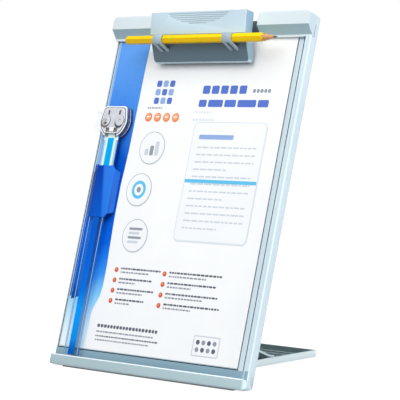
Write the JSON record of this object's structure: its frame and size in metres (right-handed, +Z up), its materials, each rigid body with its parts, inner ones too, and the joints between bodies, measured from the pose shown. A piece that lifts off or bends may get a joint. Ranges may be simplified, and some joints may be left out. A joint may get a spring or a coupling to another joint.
{
  "type": "document stand",
  "caption": "Upright copy stand with a tilted board, page ledge, sprung clip with pencil hooks, swinging clear line guide on a slider, and a folding leg behind.",
  "frame": {"origin": "middle of the underside of the anti-slip pad below the page ledge, on the table", "axes": "X to the right as the reader sees the page, Y backwards away from the reader, Z up; the stand is open at its steepest setting"},
  "size_m": [0.2345, 0.1998, 0.3179],
  "materials": {
    "body_plastic": "satin",
    "panel_plastic": "satin",
    "clip_plastic": "satin",
    "hook_plastic": "satin",
    "slider_plastic": "satin",
    "clear_plastic": "clear, polished",
    "line_ink": "printed",
    "steel": "bright",
    "rubber": "matte",
    "card": "coated print",
    "paper": "coated print",
    "lacquer": "lacquered",
    "wood": "sanded",
    "graphite": "matte"
  },
  "bodies": {
    "board": {"board_frame": "body_plastic", "panel": "panel_plastic", "header_left": "body_plastic", "header_right": "body_plastic", "header_screws": "steel", "display_card": "card", "ledge_pads": "rubber", "clip_pin": "steel", "clip_spring": "steel", "leg_hinge_pin": "steel", "strut_pin": "steel"},
    "clip": {"clip_cover": "clip_plastic", "clip_jaw_pad": "rubber", "pencil_hook_left": "hook_plastic", "pencil_hook_right": "hook_plastic"},
    "pencil": {"pencil_coat": "lacquer", "pencil_wood": "wood", "pencil_lead": "graphite"},
    "slider": {"slider_cap": "clear_plastic", "slider_carriage": "slider_plastic", "guide_rivet": "steel"},
    "ruler": {"line_guide": "clear_plastic", "guide_line": "line_ink", "paper_sleeve": "paper"},
    "leg": {"leg_tray": "body_plastic", "leg_pads": "rubber"},
    "strut_body": {"strut": "body_plastic"}
  },
  "joints": [
    {"name": "clip_open", "type": "hinge", "parent": "board", "child": "clip", "pos_m": [0, 0.07011, 0.29887], "axis": [-1, 0, 0], "range_deg": [0, 25], "stiffness_Nm_per_rad": 0.35, "springref_deg": -34.38, "deforming": ["clip_spring"]},
    {"name": "pencil_slide", "type": "slide", "parent": "clip", "child": "pencil", "axis": [1, 0, 0], "range_m": [-0.03, 0.03]},
    {"name": "slider_travel", "type": "slide", "parent": "board", "child": "slider", "axis": [0, 0.2823, 0.9593], "range_m": [0, 0.043]},
    {"name": "ruler_swing", "type": "hinge", "parent": "slider", "child": "ruler", "pos_m": [-0.0936, 0.05548, 0.21478], "axis": [0, -0.9593, 0.2823], "range_deg": [0, 89.1]},
    {"name": "leg_fold", "type": "hinge", "parent": "board", "child": "leg", "pos_m": [0, 0.00656, 0.00464], "axis": [1, 0, 0], "range_deg": [0, 73.6]},
    {"name": "strut_fold", "type": "hinge", "parent": "board", "child": "strut_body", "pos_m": [0, 0.02067, 0.05261], "axis": [1, 0, 0], "range_deg": [0, 96.09]}
  ],
  "couplings": [
    {"joint": "strut_fold", "follows": "leg_fold", "ratio": 1.3055}
  ]
}
